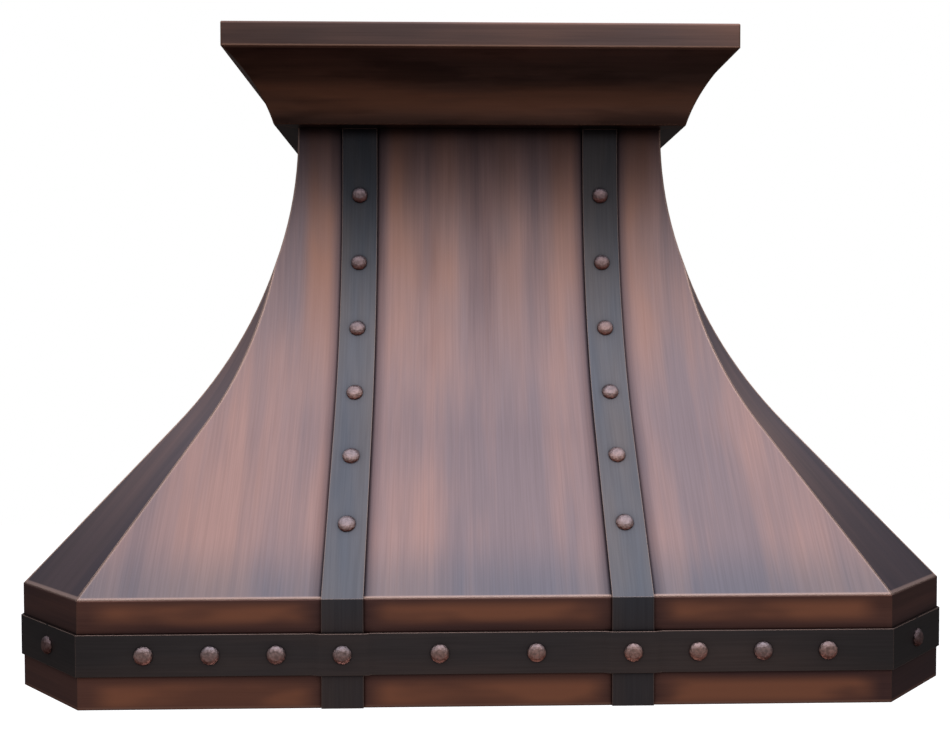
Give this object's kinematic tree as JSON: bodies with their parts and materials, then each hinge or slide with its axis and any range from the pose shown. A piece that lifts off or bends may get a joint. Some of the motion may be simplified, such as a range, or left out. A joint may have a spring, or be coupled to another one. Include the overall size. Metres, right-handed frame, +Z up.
{
  "type": "island range hood",
  "caption": "Bell-shaped copper island range hood with a crown moulding, dark riveted straps, a blower, a damped duct collar and a liner with hinged baffle filters.",
  "frame": {"origin": "centre of the ceiling bolt pattern, on the ceiling plane, which is the top face of the ceiling plate", "axes": "+Z up towards the ceiling, +X to the hood's right as seen from its front, front faces -Y"},
  "size_m": [1.2444, 0.8888, 0.928],
  "materials": {
    "copper_panel": "brushed copper with a dark oiled patina",
    "copper_corner": "brushed copper with a dark oiled patina",
    "copper_apron": "brushed copper, burnished along the middle",
    "copper_crown": "brushed copper with a dark oiled patina",
    "strap_metal": "blackened copper strap with worn edges",
    "rivet_copper": "hammered copper",
    "frame_steel": "black painted steel angle",
    "duct_steel": "galvanised sheet steel",
    "blower_steel": "galvanised sheet steel",
    "motor_paint": "black enamel",
    "liner_steel": "brushed stainless steel",
    "filter_steel": "brushed stainless steel",
    "trim_steel": "bright stainless steel",
    "screw_zinc": "zinc plated",
    "lens_glass": "frosted glass",
    "module_plastic": "black plastic",
    "knob_plastic": "black knob"
  },
  "bodies": {
    "hood": {"front_panel": "copper_panel", "back_panel": "copper_panel", "left_panel": "copper_panel", "right_panel": "copper_panel", "corner_panel_front_left": "copper_corner", "corner_panel_front_right": "copper_corner", "corner_panel_back_left": "copper_corner", "corner_panel_back_right": "copper_corner", "apron_band": "copper_apron", "crown_front": "copper_crown", "crown_back": "copper_crown", "crown_left": "copper_crown", "crown_right": "copper_crown", "strap_front_left": "strap_metal", "strap_front_right": "strap_metal", "strap_back_left": "strap_metal", "strap_back_right": "strap_metal", "strap_left": "strap_metal", "strap_right": "strap_metal", "base_strap_front": "strap_metal", "base_strap_back": "strap_metal", "base_strap_left": "strap_metal", "base_strap_right": "strap_metal", "strap_rivets": "rivet_copper", "ceiling_plate": "frame_steel", "lower_frame": "frame_steel", "bearer_rail_front": "frame_steel", "bearer_rail_back": "frame_steel", "hanger_post_front_left": "frame_steel", "hanger_post_front_right": "frame_steel", "hanger_post_back_left": "frame_steel", "hanger_post_back_right": "frame_steel", "frame_bolts": "screw_zinc", "liner_screws": "screw_zinc", "damper_pin": "screw_zinc", "duct_collar": "duct_steel", "duct_pipe": "duct_steel", "outlet_adaptor": "duct_steel", "blower_scroll": "blower_steel", "inlet_ring": "blower_steel", "blower_bracket_left": "blower_steel", "blower_bracket_right": "blower_steel", "motor": "motor_paint", "liner_pan": "liner_steel", "filter_catches": "filter_steel", "light_housings": "trim_steel", "control_panel": "trim_steel", "junction_box": "trim_steel", "junction_cover": "trim_steel", "light_lenses": "lens_glass", "control_module": "module_plastic"},
    "impeller": {"impeller": "blower_steel"},
    "damper_flap_left": {"damper_flap_left": "duct_steel"},
    "damper_flap_right": {"damper_flap_right": "duct_steel"},
    "filter_1": {"filter_1": "filter_steel"},
    "filter_2": {"filter_2": "filter_steel"},
    "filter_3": {"filter_3": "filter_steel"},
    "filter_4": {"filter_4": "filter_steel"},
    "fan_knob": {"fan_knob": "knob_plastic"},
    "light_knob": {"light_knob": "knob_plastic"}
  },
  "joints": [
    {"name": "impeller_spin", "type": "hinge", "parent": "hood", "child": "impeller", "pos_m": [0, 0.1075, -0.633], "axis": [1, 0, 0], "continuous": true},
    {"name": "damper_left_lift", "type": "hinge", "parent": "hood", "child": "damper_flap_left", "pos_m": [0, 0, -0.083], "axis": [0, 1, 0], "range_deg": [0, 80]},
    {"name": "damper_right_lift", "type": "hinge", "parent": "hood", "child": "damper_flap_right", "pos_m": [0, 0, -0.083], "axis": [0, -1, 0], "range_deg": [0, 80]},
    {"name": "filter_1_drop", "type": "hinge", "parent": "hood", "child": "filter_1", "pos_m": [-0.423, 0.236, -0.846], "axis": [1, 0, 0], "range_deg": [0, 60]},
    {"name": "filter_2_drop", "type": "hinge", "parent": "hood", "child": "filter_2", "pos_m": [-0.141, 0.236, -0.846], "axis": [1, 0, 0], "range_deg": [0, 60]},
    {"name": "filter_3_drop", "type": "hinge", "parent": "hood", "child": "filter_3", "pos_m": [0.141, 0.236, -0.846], "axis": [1, 0, 0], "range_deg": [0, 60]},
    {"name": "filter_4_drop", "type": "hinge", "parent": "hood", "child": "filter_4", "pos_m": [0.423, 0.236, -0.846], "axis": [1, 0, 0], "range_deg": [0, 60]},
    {"name": "fan_knob_turn", "type": "hinge", "parent": "hood", "child": "fan_knob", "pos_m": [-0.06, -0.328, -0.853], "axis": [0, 0, -1], "range_deg": [0, 270]},
    {"name": "light_knob_turn", "type": "hinge", "parent": "hood", "child": "light_knob", "pos_m": [0.06, -0.328, -0.853], "axis": [0, 0, -1], "range_deg": [0, 270]}
  ],
  "couplings": [
    {"joint": "damper_right_lift", "follows": "damper_left_lift", "ratio": 1}
  ]
}
